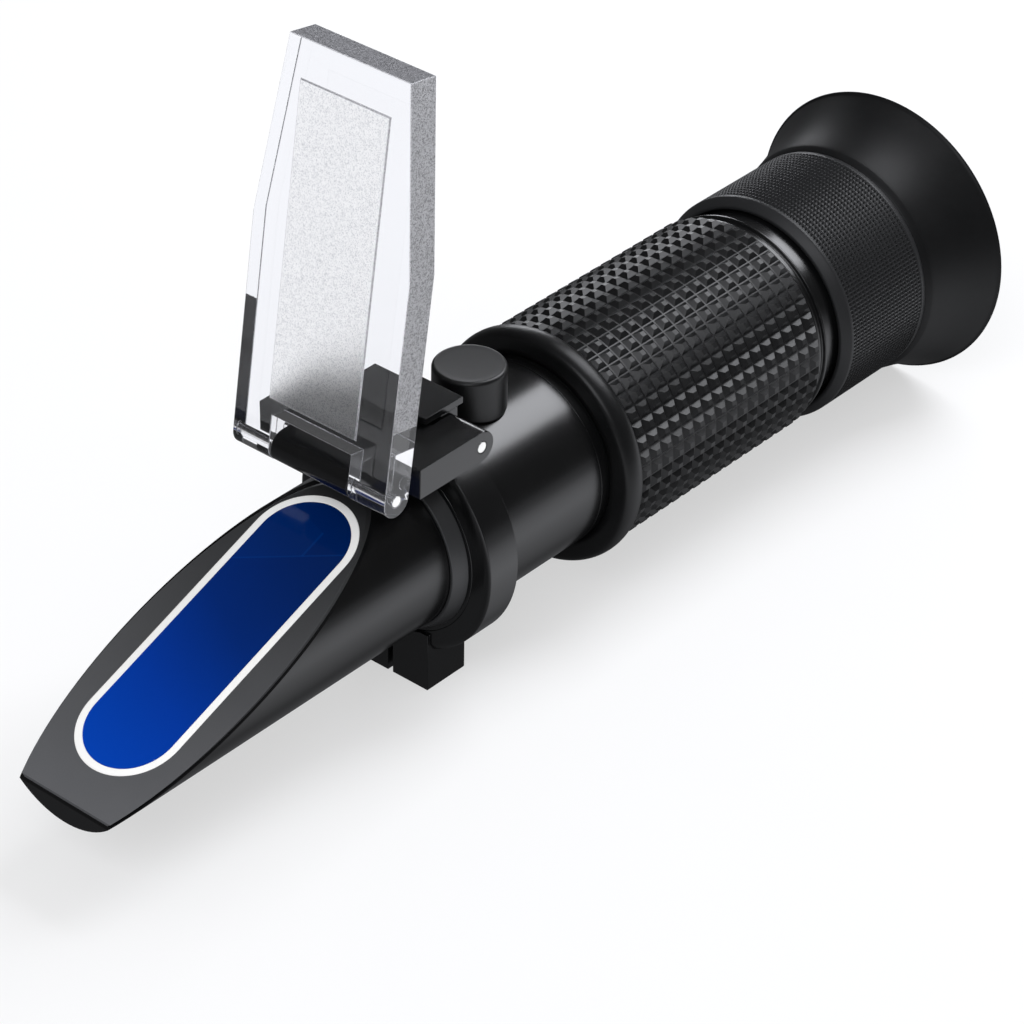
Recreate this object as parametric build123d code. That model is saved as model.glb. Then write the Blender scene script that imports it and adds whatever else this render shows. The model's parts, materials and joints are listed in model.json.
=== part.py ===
"""Hand-held brix refractometer with a hinged daylight cover, open.

The optical axis is horizontal and runs along +X from the nose to the eyecup. Every shape below
is drawn in the optical frame, where x is the station behind the nose tip, y points to the far
side and z is the height above the optical axis. place() then moves the finished solids so that
the part stands on z = 0 with its origin under the middle of its length.
"""
from build123d import *
from math import asin, cos, degrees, radians, sin, sqrt, tan
import os

os.makedirs("parts", exist_ok=True)

# Overall
TOTAL_LENGTH = 160.0
EYECUP_RIM_R = 20.8
RUNNING_GAP = 0.05
OVERCUT = 1.0

# Nose housing and its sloping prism face
NOSE_R = 11.5
NOSE_WALL = 1.9
NOSE_END_WALL = 8.0
NOSE_END = 66.0
BEVEL_ANGLE = 21.3
NOSE_TIP_HEIGHT = 3.1
BEZEL_INSET = 0.4
BEZEL_PROUD = 0.35
BEZEL_THICKNESS = 2.2
WINDOW_START = 5.3
WINDOW_LENGTH = 45.8
WINDOW_HALF_WIDTH = 7.4
GASKET_WIDTH = 1.05
PRISM_DEPTH = 7.0
PRISM_POCKET_GAP = 0.1
PRISM_EDGE_WALL = 1.2
PRISM_SCREW_R = 1.2
PRISM_SCREW_STATIONS = (20.0, 30.0)
STOP_DISC_STATION = 54.0
STOP_DISC_THICKNESS = 1.2
STOP_DISC_HOLE_R = 5.5

# Main tube
TUBE_START = 57.3
TUBE_WALL = 1.75
THREAD_BORE_START = 104.0
THREAD_BORE_STEP = 0.9
TUBE_NECK_START = 125.3
TUBE_NECK_STEP = 1.25
TUBE_END = 137.5

# Nose collar and hinge bracket
COLLAR_START = 55.2
COLLAR_FRONT_STEP = 0.4
COLLAR_BACK_STEP = 1.3
BRACKET_LENGTH = 5.5
BRACKET_WALL = 2.75
BRACKET_CHAMFER = 0.9
LUG_FORWARD = 0.4
LUG_LENGTH = 7.1
LUG_HALF_WIDTH = 6.35
LUG_REAR_OVERLAP = 0.5
CLAMP_SLIT = 0.8
CLAMP_SCREW_R = 1.25
CLAMP_SCREW_HEAD_R = 2.1
CLAMP_SCREW_HEAD = 1.6
CLAMP_SCREW_RISE = 2.9
CLAMP_SCREW_TIP = 4.6

# Hinge link and its two pins
PIN_RISE = 1.4
REAR_PIN_STATION = 59.95
FRONT_PIN_STATION = 44.3
PIN_R = 0.75
LINK_HALF_HEIGHT = 2.1
LINK_FRONT = 48.7
LINK_HALF_WIDTH = 12.3
LINK_SLOT_START = 57.2
LINK_SLOT_HALF_WIDTH = 6.6
POST_SIDE_GAP = 0.15
POST_FRONT = 59.0
TONGUE_HALF_WIDTH = 6.25
STOP_GAP = 0.3
STOP_THICKNESS = 0.9
STOP_HALF_WIDTH = 6.4
STOP_FRONT = 56.2
STOP_BACK = 63.1
STOP_SCREW_R = 0.8
STOP_SCREW_HALF_PITCH = 3.2
STOP_SCREW_LENGTH = 1.3

# Daylight cover, stored open
COVER_LEAN = 8.7
COVER_THICKNESS = 4.3
COVER_LENGTH = 52.8
COVER_HALF_WIDTH = 12.5
COVER_KNEE = 29.2
COVER_TIP_HALF_WIDTH = 9.4
NOTCH_SIDE_GAP = 0.2
NOTCH_TOP = 4.4
PAD_HEIGHT = 0.2
PAD_HALF_WIDTH = 7.0
PAD_START = 6.6
PAD_END = 47.8
SAMPLE_GAP = 0.1

# Calibration screw, its boss and rubber cap
KNOB_STATION = 71.6
KNOB_RISE = 5.55
CAP_R = 4.8
CAP_WALL = 1.2
CAP_EDGE = 0.5
CAP_SADDLE_GAP = 0.15
BOSS_R = 3.5
BOSS_RISE = 2.95
BOSS_DROP = 0.6
SCREW_R = 1.5
SCREW_TIP_GAP = 0.6
SCREW_HEAD_R = 2.4
SCREW_HEAD_RECESS = 2.0
SCREW_HEAD_HEIGHT = 1.5
SLOT_WIDTH = 0.7
SLOT_DEPTH = 0.8
CLIP_R = 2.4
CLIP_THICKNESS = 0.6
CLIP_GAP = 0.1

# Objective lens carrier with the temperature compensating strip
CELL_GAP = 2.0
CELL_LENGTH = 7.0
CELL_LIP = 1.4
OBJECTIVE_R = 6.3
OBJECTIVE_RIM = 0.8
OBJECTIVE_EDGE = 2.2
OBJECTIVE_CURVE_R = 22.0
LENS_RING_R = 7.2
LENS_RING_LENGTH = 2.4
STRIP_WIDTH = 5.0
STRIP_THICKNESS = 0.8
STRIP_LENGTH = 16.0
STRIP_HEIGHT = 7.1
STRIP_SCREW_R = 0.9

# Scale disc
SCALE_CELL_START = 98.0
SCALE_CELL_LENGTH = 5.0
SCALE_CELL_WALL = 2.9
SCALE_LIP = 1.8
SCALE_THICKNESS = 1.5
SCALE_REST_WIDTH = 1.2

# Rubber grip
GRIP_START = 84.0
GRIP_BEAD_RISE = 0.6
GRIP_BEAD_LENGTH = 3.4
GRIP_WALL = 2.65
END_RING_WALL = 0.8
END_RING_LENGTH = 1.9

# Eyepiece
FOCUS_START = 130.1
FOCUS_END = 148.0
FOCUS_SKIRT_WALL = 1.5
FOCUS_CHAMFER = 1.0
FOCUS_SKIRT_GAP = 0.4
FOCUS_SKIRT_END = 141.0
FOCUS_SPIGOT_STEP = 2.2
FOCUS_SPIGOT_END = 151.5
EYE_TUBE_START = 112.0
EYE_TUBE_END = 150.0
EYE_TUBE_WALL = 1.75
FIELD_LENS_STATION = 114.0
LENS_EDGE = 3.0
LENS_RIM = 1.8
FIELD_CURVE_R = 30.0
EYE_CURVE_R = 24.0
EYE_LENS_STATION = 142.0
SPACER_WALL = 0.9
RETAINER_LENGTH = 2.0
RETAINER_WALL = 1.6
O_RING_STATION = 118.0
O_RING_WIRE_R = 0.5
O_RING_GAP = 0.1
CUP_LIP = 1.05
CUP_LIP_STEP = 0.5
CUP_WALL = 1.2

SKY = 60.0

# Radii and heights that follow from the sizes above
NOSE_BORE_R = NOSE_R - NOSE_WALL
BEVEL_START_Z = NOSE_TIP_HEIGHT - NOSE_R
PRISM_ENVELOPE_R = NOSE_R - PRISM_EDGE_WALL
TUBE_BORE_R = NOSE_R
TUBE_R = TUBE_BORE_R + TUBE_WALL
THREAD_BORE_R = TUBE_BORE_R + THREAD_BORE_STEP
TUBE_NECK_R = TUBE_R + TUBE_NECK_STEP
COLLAR_FRONT_R = NOSE_R + COLLAR_FRONT_STEP
COLLAR_BACK_R = NOSE_R + COLLAR_BACK_STEP
BRACKET_R = TUBE_R + BRACKET_WALL
LUG_REAR_TOP = BRACKET_R - LUG_REAR_OVERLAP
CLAMP_SCREW_DEPTH = EYECUP_RIM_R - CLAMP_SCREW_RISE
PIN_HEIGHT = BRACKET_R + PIN_RISE
KNOB_TOP = TUBE_R + KNOB_RISE
BOSS_TOP = TUBE_R + BOSS_RISE
BOSS_BOTTOM = TUBE_BORE_R - BOSS_DROP
SCREW_TIP = LENS_RING_R + SCREW_TIP_GAP
SCREW_HEAD_SEAT = BOSS_TOP - SCREW_HEAD_RECESS
CELL_R = TUBE_BORE_R - CELL_GAP
OBJECTIVE_CLEAR_R = OBJECTIVE_R - OBJECTIVE_RIM
SCALE_R = TUBE_BORE_R - SCALE_CELL_WALL
SCALE_VIEW_R = SCALE_R - SCALE_REST_WIDTH
GRIP_R = TUBE_R + GRIP_WALL
GRIP_BEAD_R = GRIP_R + GRIP_BEAD_RISE
END_RING_R = TUBE_NECK_R + END_RING_WALL
FOCUS_SKIRT_BORE_R = TUBE_NECK_R + FOCUS_SKIRT_GAP
FOCUS_R = FOCUS_SKIRT_BORE_R + FOCUS_SKIRT_WALL
FOCUS_SPIGOT_R = FOCUS_R - FOCUS_SPIGOT_STEP
EYE_TUBE_R = THREAD_BORE_R - RUNNING_GAP
EYE_TUBE_BORE_R = EYE_TUBE_R - EYE_TUBE_WALL
LENS_CLEAR_R = EYE_TUBE_BORE_R - LENS_RIM
RETAINER_BORE_R = EYE_TUBE_BORE_R - RETAINER_WALL
CUP_LIP_R = FOCUS_R + CUP_LIP_STEP


def place(shape):
    """From the optical frame to the part's own frame."""
    return Pos(-TOTAL_LENGTH / 2, 0, EYECUP_RIM_R) * shape


def write(name, *shapes):
    solids = [solid for shape in shapes for solid in place(shape).solids()]
    export_step(Compound(children=solids), f"parts/{name}.step")


def rod_x(radius, start, end):
    return Pos((start + end) / 2, 0, 0) * Rot(0, 90, 0) * Cylinder(radius, end - start)


def rod_y(radius, start, end, station, height):
    return Pos(station, (start + end) / 2, height) * Rot(90, 0, 0) * Cylinder(radius, end - start)


def rod_z(radius, bottom, top, station, y=0.0):
    return Pos(station, y, (bottom + top) / 2) * Cylinder(radius, top - bottom)


def tube_x(outer, inner, start, end):
    return rod_x(outer, start, end) - rod_x(inner, start - OVERCUT, end + OVERCUT)


def block(x_low, x_high, y_low, y_high, z_low, z_high):
    centre = ((x_low + x_high) / 2, (y_low + y_high) / 2, (z_low + z_high) / 2)
    return Pos(*centre) * Box(x_high - x_low, y_high - y_low, z_high - z_low)


def turned(*outline):
    """A ring turned about the optical axis from (station, radius) corners."""
    corners = [(station, 0, radius) for station, radius in outline]
    return revolve(make_face(Polyline(*corners, close=True)), Axis.X, 360)


def lens(radius, clear_r, start, edge, curve_r):
    """Lens with a flat-rimmed edge from start to start + edge and two equal convex faces inside it."""
    bulge = curve_r - sqrt(curve_r ** 2 - clear_r ** 2)
    blank = rod_x(clear_r, start - bulge, start + edge + bulge)
    front = Pos(start - bulge + curve_r, 0, 0) * Sphere(curve_r)
    back = Pos(start + edge + bulge - curve_r, 0, 0) * Sphere(curve_r)
    return rod_x(radius, start, start + edge) + (blank & front & back)


# The sloping prism face, with its local x up the slope and its local z out of the face
slope = radians(BEVEL_ANGLE)
bevel = Plane(origin=(0, 0, BEVEL_START_Z), x_dir=(cos(slope), 0, sin(slope)),
              z_dir=(-sin(slope), 0, cos(slope)))
BEVEL_REACH = 140.0


def above_bevel(offset):
    return bevel * Pos(BEVEL_REACH / 3, 0, offset + SKY / 2) * Box(BEVEL_REACH, SKY, SKY)


def window_slot(half_width, depth):
    """Round-ended slot through the prism face, shrunk evenly from the window's outline."""
    shrink = WINDOW_HALF_WIDTH - half_width
    outline = SlotOverall(WINDOW_LENGTH - 2 * shrink, 2 * half_width)
    return extrude(bevel * Pos(WINDOW_START + WINDOW_LENGTH / 2, 0, 0) * outline, amount=-depth)


def bevel_height(station, offset=0.0):
    """Height of the plane that lies offset above the prism face."""
    return BEVEL_START_Z + station * tan(slope) + offset / cos(slope)


# Nose
prism_half_width = WINDOW_HALF_WIDTH - GASKET_WIDTH
prism_screw_holes = [
    rod_z(PRISM_SCREW_R, -NOSE_R - OVERCUT, bevel_height(station, -PRISM_DEPTH / 2), station)
    for station in PRISM_SCREW_STATIONS
]


def make_bezel():
    slab = bevel * Pos(BEVEL_REACH / 3, 0, -BEZEL_THICKNESS / 2) * Box(BEVEL_REACH, SKY, BEZEL_THICKNESS)
    return slab & rod_x(NOSE_R - BEZEL_INSET, BEZEL_INSET, NOSE_END)


def make_prism():
    return window_slot(prism_half_width, PRISM_DEPTH) & rod_x(PRISM_ENVELOPE_R, 0, NOSE_END)


def make_nose_housing(bezel):
    pocket = window_slot(prism_half_width + PRISM_POCKET_GAP, PRISM_DEPTH + PRISM_POCKET_GAP)
    pocket = pocket & rod_x(PRISM_ENVELOPE_R + PRISM_POCKET_GAP, 0, NOSE_END)
    housing = rod_x(NOSE_R, 0, NOSE_END) - rod_x(NOSE_BORE_R, NOSE_END_WALL, NOSE_END + OVERCUT)
    housing = housing - above_bevel(-BEZEL_PROUD) - bezel - pocket
    for hole in prism_screw_holes:
        housing = housing - hole
    return housing


def make_prism_screws():
    floor = -NOSE_R + BEZEL_PROUD
    screws = []
    for station in PRISM_SCREW_STATIONS:
        shank = rod_z(PRISM_SCREW_R, floor, bevel_height(station, -PRISM_DEPTH / 2), station)
        hex_key = rod_z(PRISM_SCREW_R / 2, floor - OVERCUT, floor + OVERCUT, station)
        screws.append(shank - window_slot(prism_half_width, PRISM_DEPTH) - hex_key)
    return screws


bezel_plate = make_bezel()
write("prism_bezel", bezel_plate - window_slot(WINDOW_HALF_WIDTH, 2 * BEZEL_THICKNESS))
write("prism_gasket", (window_slot(WINDOW_HALF_WIDTH, BEZEL_THICKNESS)
                       - window_slot(prism_half_width, 2 * BEZEL_THICKNESS)) & bezel_plate)
write("measuring_prism", make_prism())
write("nose_housing", make_nose_housing(bezel_plate))
write("prism_set_screws", *make_prism_screws())
write("aperture_stop", tube_x(NOSE_BORE_R, STOP_DISC_HOLE_R, STOP_DISC_STATION,
                              STOP_DISC_STATION + STOP_DISC_THICKNESS))
write("nose_collar", turned((COLLAR_START, NOSE_R), (COLLAR_START, COLLAR_FRONT_R),
                            (TUBE_START, COLLAR_BACK_R), (TUBE_START, NOSE_R)))


# Main tube
def make_main_tube():
    shell = rod_x(TUBE_R, TUBE_START, TUBE_NECK_START) + rod_x(TUBE_NECK_R, TUBE_NECK_START, TUBE_END)
    shell = shell - rod_x(TUBE_BORE_R, TUBE_START - OVERCUT, THREAD_BORE_START + OVERCUT)
    shell = shell - rod_x(THREAD_BORE_R, THREAD_BORE_START, TUBE_END + OVERCUT)
    return shell - rod_z(BOSS_R, 0, SKY, KNOB_STATION)


write("main_tube", make_main_tube())

# Hinge bracket, clamped round the front of the main tube
bracket_end = TUBE_START + BRACKET_LENGTH
lug_front = TUBE_START - LUG_FORWARD
lug_end = lug_front + LUG_LENGTH
post_half_width = LINK_SLOT_HALF_WIDTH - POST_SIDE_GAP
post_back = REAR_PIN_STATION + LINK_HALF_HEIGHT
link_top = PIN_HEIGHT + LINK_HALF_HEIGHT
stop_bottom = link_top + STOP_GAP
clamp_screw_station = (lug_front + lug_end) / 2
clamp_head_start = LUG_HALF_WIDTH - CLAMP_SCREW_HEAD


def stop_screw_spots():
    middle = (POST_FRONT + post_back) / 2
    return [(middle, side * STOP_SCREW_HALF_PITCH) for side in (-1, 1)]


def make_bracket():
    chamfered = BRACKET_R - BRACKET_CHAMFER
    ring = turned((TUBE_START, TUBE_R), (TUBE_START, chamfered),
                  (TUBE_START + BRACKET_CHAMFER / 2, BRACKET_R), (bracket_end, BRACKET_R),
                  (bracket_end, TUBE_R))
    width = LUG_HALF_WIDTH
    lugs = block(lug_front, bracket_end, -width, width, -EYECUP_RIM_R, -TUBE_R + OVERCUT)
    lugs = lugs + block(bracket_end, lug_end, -width, width, -EYECUP_RIM_R, -LUG_REAR_TOP)
    lugs = lugs - rod_x(TUBE_R, 0, TOTAL_LENGTH)
    post = block(POST_FRONT, post_back, -post_half_width, post_half_width, TUBE_R, stop_bottom)
    post = post + rod_y(LINK_HALF_HEIGHT, -post_half_width, post_half_width, REAR_PIN_STATION, PIN_HEIGHT)
    arm_floor = TUBE_R + STOP_GAP / 2
    ring = ring - block(0, POST_FRONT, -SKY, SKY, arm_floor, SKY)
    for side in (-1, 1):
        near, far = sorted((side * post_half_width, side * SKY))
        ring = ring - block(0, TOTAL_LENGTH, near, far, arm_floor, SKY)
    body = ring + lugs + post
    body = body - block(lug_front - 1, lug_end + 1, -CLAMP_SLIT / 2, CLAMP_SLIT / 2, -SKY, 0)
    body = body - rod_y(PIN_R, -SKY, SKY, REAR_PIN_STATION, PIN_HEIGHT)
    body = body - rod_y(CLAMP_SCREW_R, -CLAMP_SCREW_TIP, SKY, clamp_screw_station, -CLAMP_SCREW_DEPTH)
    body = body - rod_y(CLAMP_SCREW_HEAD_R, clamp_head_start, SKY, clamp_screw_station, -CLAMP_SCREW_DEPTH)
    for station, y in stop_screw_spots():
        body = body - rod_z(STOP_SCREW_R, stop_bottom - STOP_SCREW_LENGTH, SKY, station, y)
    return body


def make_clamp_screw():
    shank = rod_y(CLAMP_SCREW_R, -CLAMP_SCREW_TIP, clamp_head_start, clamp_screw_station,
                  -CLAMP_SCREW_DEPTH)
    head = rod_y(CLAMP_SCREW_HEAD_R, clamp_head_start, LUG_HALF_WIDTH, clamp_screw_station,
                 -CLAMP_SCREW_DEPTH)
    slot = block(clamp_screw_station - SKY, clamp_screw_station + SKY, LUG_HALF_WIDTH - SLOT_DEPTH, SKY,
                 -CLAMP_SCREW_DEPTH - SLOT_WIDTH / 2, -CLAMP_SCREW_DEPTH + SLOT_WIDTH / 2)
    return shank + head - slot


def make_stop_plate():
    plate = block(STOP_FRONT, STOP_BACK, -STOP_HALF_WIDTH, STOP_HALF_WIDTH, stop_bottom,
                  stop_bottom + STOP_THICKNESS)
    for station, y in stop_screw_spots():
        plate = plate - rod_z(STOP_SCREW_R, 0, stop_bottom + STOP_THICKNESS / 2, station, y)
    return plate


def make_stop_pegs():
    return [
        rod_z(STOP_SCREW_R, stop_bottom - STOP_SCREW_LENGTH, stop_bottom + STOP_THICKNESS / 2, station, y)
        for station, y in stop_screw_spots()
    ]


write("hinge_bracket", make_bracket())
write("clamp_screw", make_clamp_screw())
write("hinge_stop_plate", make_stop_plate())
write("stop_plate_pegs", *make_stop_pegs())
write("rear_hinge_pin", rod_y(PIN_R, -LINK_HALF_WIDTH, LINK_HALF_WIDTH, REAR_PIN_STATION, PIN_HEIGHT))


# Hinge link
def make_link():
    low, high = PIN_HEIGHT - LINK_HALF_HEIGHT, link_top
    bar = block(LINK_FRONT, REAR_PIN_STATION, -LINK_HALF_WIDTH, LINK_HALF_WIDTH, low, high)
    bar = bar + rod_y(LINK_HALF_HEIGHT, -LINK_HALF_WIDTH, LINK_HALF_WIDTH, REAR_PIN_STATION, PIN_HEIGHT)
    slot_half = LINK_SLOT_HALF_WIDTH
    bar = bar - block(LINK_SLOT_START, SKY * 2, -slot_half, slot_half, 0, SKY)
    tongue = block(FRONT_PIN_STATION, LINK_FRONT, -TONGUE_HALF_WIDTH, TONGUE_HALF_WIDTH, low, high)
    knuckle = rod_y(LINK_HALF_HEIGHT, -TONGUE_HALF_WIDTH, TONGUE_HALF_WIDTH, FRONT_PIN_STATION, PIN_HEIGHT)
    link = bar + tongue + knuckle
    link = link - rod_y(PIN_R + RUNNING_GAP, -SKY, SKY, REAR_PIN_STATION, PIN_HEIGHT)
    return link - rod_y(PIN_R, -SKY, SKY, FRONT_PIN_STATION, PIN_HEIGHT)


write("hinge_link", make_link())
write("front_hinge_pin", rod_y(PIN_R, -COVER_HALF_WIDTH, COVER_HALF_WIDTH, FRONT_PIN_STATION, PIN_HEIGHT))

# Daylight cover, with its local x towards the tip and its local z out of the face that meets the prism
lean = radians(COVER_LEAN)
cover_frame = Plane(origin=(FRONT_PIN_STATION, 0, PIN_HEIGHT), x_dir=(sin(lean), 0, cos(lean)),
                    z_dir=(-cos(lean), 0, sin(lean)))


def make_cover():
    half = COVER_THICKNESS / 2
    one_side = [(0, COVER_HALF_WIDTH), (COVER_KNEE, COVER_HALF_WIDTH), (COVER_LENGTH, COVER_TIP_HALF_WIDTH)]
    outline = [(x, -y) for x, y in one_side] + one_side[::-1]
    face = make_face(Polyline(*outline, close=True))
    sheet = Pos(0, 0, -half) * extrude(face, amount=COVER_THICKNESS)
    sheet = sheet + Rot(90, 0, 0) * Cylinder(half, 2 * COVER_HALF_WIDTH)
    notch_half = TONGUE_HALF_WIDTH + NOTCH_SIDE_GAP
    sheet = sheet - block(-COVER_THICKNESS, NOTCH_TOP, -notch_half, notch_half, -SKY, SKY)
    sheet = sheet + block(PAD_START, PAD_END, -PAD_HALF_WIDTH, PAD_HALF_WIDTH, 0, half + PAD_HEIGHT)
    sheet = sheet - Rot(90, 0, 0) * Cylinder(PIN_R + RUNNING_GAP, SKY)
    return cover_frame * sheet


def closing_turns():
    """Turns in degrees that lay the cover flat on the prism face, for the link and then the cover."""
    arm = REAR_PIN_STATION - FRONT_PIN_STATION
    lift = COVER_THICKNESS / 2 + PAD_HEIGHT + SAMPLE_GAP
    turn = 0.0
    for _ in range(20):
        station = REAR_PIN_STATION - arm * cos(turn)
        turn = asin((PIN_HEIGHT - bevel_height(station, lift)) / arm)
    link_turn = degrees(turn)
    return link_turn, 90 + BEVEL_ANGLE + COVER_LEAN - link_turn


write("daylight_cover", make_cover())
print("closing turns of link and cover", closing_turns())


# Calibration screw under its rubber cap
def make_cap():
    body = rod_z(CAP_R, NOSE_R, KNOB_TOP, KNOB_STATION)
    body = fillet(body.edges().filter_by(GeomType.CIRCLE).sort_by(Axis.Z)[-1], CAP_EDGE)
    body = body - rod_z(BOSS_R + RUNNING_GAP, 0, KNOB_TOP - CAP_WALL, KNOB_STATION)
    return body - rod_x(TUBE_R + CAP_SADDLE_GAP, 0, TOTAL_LENGTH)


def make_boss():
    boss = rod_z(BOSS_R, BOSS_BOTTOM, BOSS_TOP, KNOB_STATION)
    boss = boss - rod_z(SCREW_R + RUNNING_GAP, 0, SKY, KNOB_STATION)
    return boss - rod_z(SCREW_HEAD_R + 2 * RUNNING_GAP, SCREW_HEAD_SEAT, SKY, KNOB_STATION)


def make_calibration_screw():
    head_bottom = SCREW_HEAD_SEAT + RUNNING_GAP
    head_top = head_bottom + SCREW_HEAD_HEIGHT
    screw = rod_z(SCREW_R, SCREW_TIP, head_bottom, KNOB_STATION)
    screw = screw + rod_z(SCREW_HEAD_R, head_bottom, head_top, KNOB_STATION)
    return screw - block(0, TOTAL_LENGTH, -SLOT_WIDTH / 2, SLOT_WIDTH / 2, head_top - SLOT_DEPTH, SKY)


def make_clip():
    top = BOSS_BOTTOM - CLIP_GAP
    return (rod_z(CLIP_R, top - CLIP_THICKNESS, top, KNOB_STATION)
            - rod_z(SCREW_R, 0, SKY, KNOB_STATION))


write("calibration_cap", make_cap())
write("calibration_boss", make_boss())
write("calibration_screw", make_calibration_screw())
write("screw_retaining_clip", make_clip())

# Objective carrier, moved up and down by the calibration screw
cell_start = KNOB_STATION - CELL_LENGTH / 2
cell_end = cell_start + CELL_LENGTH
objective_start = cell_start + CELL_LIP
ring_start = objective_start + OBJECTIVE_EDGE


def make_cell():
    cell = rod_x(CELL_R, cell_start, cell_end)
    cell = cell - rod_x(LENS_RING_R, ring_start, cell_end + 1)
    cell = cell - rod_x(OBJECTIVE_R, objective_start, cell_end)
    cell = cell - rod_x(OBJECTIVE_CLEAR_R, cell_start - 1, cell_end)
    cell = cell - rod_z(SCREW_R + RUNNING_GAP, 0, SKY, KNOB_STATION)
    strip_floor = -STRIP_HEIGHT - STRIP_THICKNESS
    return cell - block(cell_start - 1, cell_end + 1, -SKY, SKY, -SKY, strip_floor)


def strip_screw_stations():
    return [cell_start + share * CELL_LENGTH for share in (0.25, 0.75)]


def make_strip():
    bottom = -STRIP_HEIGHT - 2 * STRIP_THICKNESS
    strip = block(cell_end - STRIP_LENGTH, cell_end, -STRIP_WIDTH / 2, STRIP_WIDTH / 2, bottom,
                  bottom + STRIP_THICKNESS)
    for station in strip_screw_stations():
        strip = strip - rod_z(STRIP_SCREW_R, -SKY, 0, station)
    return strip


def strip_screws():
    bottom = -STRIP_HEIGHT - 2 * STRIP_THICKNESS
    depth = -LENS_RING_R - STRIP_THICKNESS / 4
    return [rod_z(STRIP_SCREW_R, bottom, depth, station) for station in strip_screw_stations()]


cell = make_cell()
for strip_screw in strip_screws():
    cell = cell - strip_screw
write("objective_cell", cell)
write("objective_lens", lens(OBJECTIVE_R, OBJECTIVE_CLEAR_R, objective_start, OBJECTIVE_EDGE,
                             OBJECTIVE_CURVE_R))
write("objective_retainer", tube_x(LENS_RING_R, OBJECTIVE_CLEAR_R, ring_start,
                                   ring_start + LENS_RING_LENGTH))
write("compensating_strip", make_strip())
write("strip_screws", *strip_screws())


# Scale disc in its cell
def make_scale_cell():
    end = SCALE_CELL_START + SCALE_CELL_LENGTH
    cell_ring = tube_x(TUBE_BORE_R, SCALE_VIEW_R, SCALE_CELL_START, end)
    return cell_ring - rod_x(SCALE_R, SCALE_CELL_START - 1, end - SCALE_LIP)


scale_back = SCALE_CELL_START + SCALE_CELL_LENGTH - SCALE_LIP
scale_front = scale_back - SCALE_THICKNESS
write("scale_cell", make_scale_cell())
write("scale_disc", rod_x(SCALE_R, scale_front, scale_back))
write("scale_retainer", tube_x(SCALE_R, SCALE_VIEW_R, SCALE_CELL_START, scale_front))


# Rubber grip with its rolled front bead
def make_grip():
    bead_end = GRIP_START + GRIP_BEAD_LENGTH
    sleeve = tube_x(GRIP_R, TUBE_R, GRIP_START + GRIP_BEAD_LENGTH / 2, TUBE_NECK_START)
    bead = turned((GRIP_START, TUBE_R), (GRIP_START, GRIP_BEAD_R), (bead_end, GRIP_BEAD_R),
                  (bead_end, TUBE_R))
    rim = bead.edges().filter_by(GeomType.CIRCLE).group_by(SortBy.RADIUS)[-1]
    return sleeve + fillet(rim, GRIP_BEAD_LENGTH * 0.45)


write("grip_sleeve", make_grip())
write("grip_end_ring", tube_x(END_RING_R, TUBE_NECK_R, TUBE_NECK_START, TUBE_NECK_START + END_RING_LENGTH))

# Eyepiece, which screws in and out of the main tube
def make_focus_ring():
    inner = EYE_TUBE_R
    return turned((FOCUS_START, FOCUS_SKIRT_BORE_R), (FOCUS_START, FOCUS_R - FOCUS_CHAMFER),
                  (FOCUS_START + FOCUS_CHAMFER, FOCUS_R), (FOCUS_END, FOCUS_R),
                  (FOCUS_END, FOCUS_SPIGOT_R), (FOCUS_SPIGOT_END, FOCUS_SPIGOT_R),
                  (FOCUS_SPIGOT_END, inner), (FOCUS_SKIRT_END, inner),
                  (FOCUS_SKIRT_END, FOCUS_SKIRT_BORE_R))


def make_eye_tube():
    tube = tube_x(EYE_TUBE_R, EYE_TUBE_BORE_R, EYE_TUBE_START, EYE_TUBE_END)
    half = O_RING_WIRE_R + O_RING_GAP
    groove_floor = EYE_TUBE_R - 2 * O_RING_WIRE_R
    return tube - tube_x(EYE_TUBE_R + 1, groove_floor, O_RING_STATION - half, O_RING_STATION + half)


def make_o_ring():
    ring_r = EYE_TUBE_R - O_RING_WIRE_R + RUNNING_GAP / 2
    return Pos(O_RING_STATION, 0, 0) * Rot(0, 90, 0) * Torus(ring_r, O_RING_WIRE_R - RUNNING_GAP / 2)


def make_eyecup():
    """Flared rubber cup pushed over the focus ring's spigot."""
    lip_end = FOCUS_END + CUP_LIP
    throat_r = FOCUS_SPIGOT_R
    return turned((FOCUS_END, throat_r), (FOCUS_END, FOCUS_R), (lip_end, CUP_LIP_R),
                  (TOTAL_LENGTH, EYECUP_RIM_R), (TOTAL_LENGTH, EYECUP_RIM_R - CUP_WALL),
                  (FOCUS_SPIGOT_END, throat_r + CUP_WALL / 2), (FOCUS_SPIGOT_END, throat_r))


field_end = FIELD_LENS_STATION + LENS_EDGE
eye_end = EYE_LENS_STATION + LENS_EDGE
write("focus_ring", make_focus_ring())
write("eyepiece_tube", make_eye_tube())
write("focus_o_ring", make_o_ring())
write("field_lens", lens(EYE_TUBE_BORE_R, LENS_CLEAR_R, FIELD_LENS_STATION, LENS_EDGE, FIELD_CURVE_R))
write("lens_spacer", tube_x(EYE_TUBE_BORE_R, EYE_TUBE_BORE_R - SPACER_WALL, field_end, EYE_LENS_STATION))
write("eye_lens", lens(EYE_TUBE_BORE_R, LENS_CLEAR_R, EYE_LENS_STATION, LENS_EDGE, EYE_CURVE_R))
write("field_lens_retainer", turned((EYE_TUBE_START, EYE_TUBE_BORE_R),
                                    (EYE_TUBE_START, RETAINER_BORE_R),
                                    (FIELD_LENS_STATION, RETAINER_BORE_R),
                                    (FIELD_LENS_STATION, EYE_TUBE_BORE_R)))
write("eye_lens_retainer", tube_x(EYE_TUBE_BORE_R, RETAINER_BORE_R, eye_end, eye_end + RETAINER_LENGTH))
write("eyecup", make_eyecup())
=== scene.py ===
import json
import math

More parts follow.
